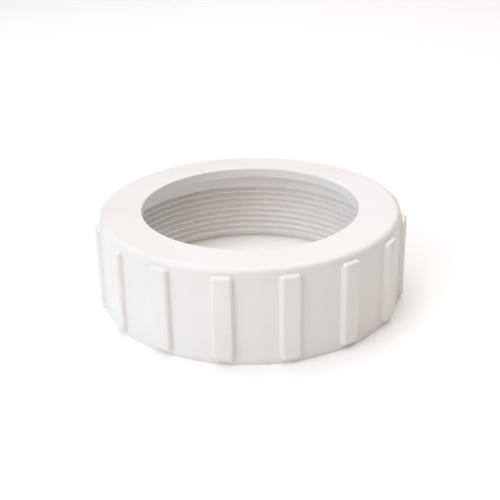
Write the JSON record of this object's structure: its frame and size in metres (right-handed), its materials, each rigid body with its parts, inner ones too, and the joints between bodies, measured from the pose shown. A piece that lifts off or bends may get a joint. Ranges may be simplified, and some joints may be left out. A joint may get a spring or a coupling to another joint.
{
  "type": "union nut",
  "caption": "Union nut: open plastic collar with a trapping lip, a long internal pipe thread, a lead-in cone and rectangular grip ribs outside.",
  "frame": {"origin": "centre of the open end's face, on the thread's axis", "axes": "+Z along the thread's axis, from the open end to the lip; -Y through the middle of one grip rib"},
  "size_m": [0.1048, 0.1048, 0.0314],
  "materials": {
    "white_pvc": "moulded, satin gloss"
  },
  "bodies": {
    "root": {"union_nut": "white_pvc"}
  },
  "joints": []
}
